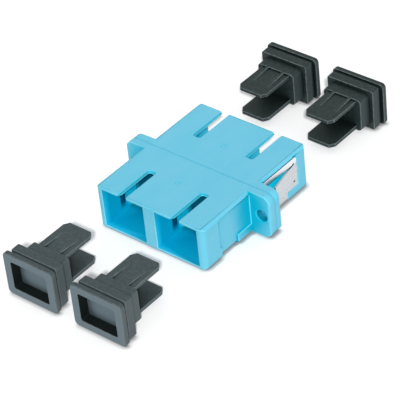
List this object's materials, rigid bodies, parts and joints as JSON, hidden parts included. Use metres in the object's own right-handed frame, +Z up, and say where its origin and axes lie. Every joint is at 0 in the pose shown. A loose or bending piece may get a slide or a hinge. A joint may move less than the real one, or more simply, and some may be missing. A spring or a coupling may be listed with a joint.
{
  "type": "duplex sc fibre adapter",
  "caption": "Flanged duplex fibre adapter: welded plastic housing with keyed ports, sleeve holders, split sleeves, a spring panel clip and pull-off dust caps lying before their ports.",
  "frame": {"origin": "bottom centre of the housing, in the plane where its two mouldings meet; the caps lie evenly to the front and rear, so it is also the bottom centre of the whole", "axes": "+X across the ports, to the right seen from the front; +Y through the ports from front to rear, the longest way; +Z up, out of the side with the key slots"},
  "size_m": [0.0346, 0.0792, 0.0093],
  "materials": {
    "aqua_plastic": "fine moulded satin, aqua",
    "holder_plastic": "satin, deeper aqua inside the ports",
    "clip_steel": "bright rolled spring steel",
    "sleeve_ceramic": "ground zirconia, white",
    "cap_plastic": "soft satin, black with a cool cast"
  },
  "bodies": {
    "adapter": {"front_housing": "aqua_plastic", "rear_housing": "aqua_plastic", "mounting_clip": "clip_steel", "left_split_sleeve": "sleeve_ceramic", "front_left_holder": "holder_plastic", "rear_left_holder": "holder_plastic", "right_split_sleeve": "sleeve_ceramic", "front_right_holder": "holder_plastic", "rear_right_holder": "holder_plastic"},
    "front_left_cap": {"front_left_cap": "cap_plastic"},
    "rear_left_cap": {"rear_left_cap": "cap_plastic"},
    "front_right_cap": {"front_right_cap": "cap_plastic"},
    "rear_right_cap": {"rear_right_cap": "cap_plastic"}
  },
  "joints": [
    {"name": "front_left_cap_slide", "type": "slide", "parent": "adapter", "child": "front_left_cap", "axis": [0.0859, 0.9963, 0], "range_m": [0, 0.02038]},
    {"name": "rear_left_cap_slide", "type": "slide", "parent": "adapter", "child": "rear_left_cap", "axis": [0.0859, -0.9963, 0], "range_m": [0, 0.02038]},
    {"name": "front_right_cap_slide", "type": "slide", "parent": "adapter", "child": "front_right_cap", "axis": [-0.0859, 0.9963, 0], "range_m": [0, 0.02038]},
    {"name": "rear_right_cap_slide", "type": "slide", "parent": "adapter", "child": "rear_right_cap", "axis": [-0.0859, -0.9963, 0], "range_m": [0, 0.02038]}
  ]
}
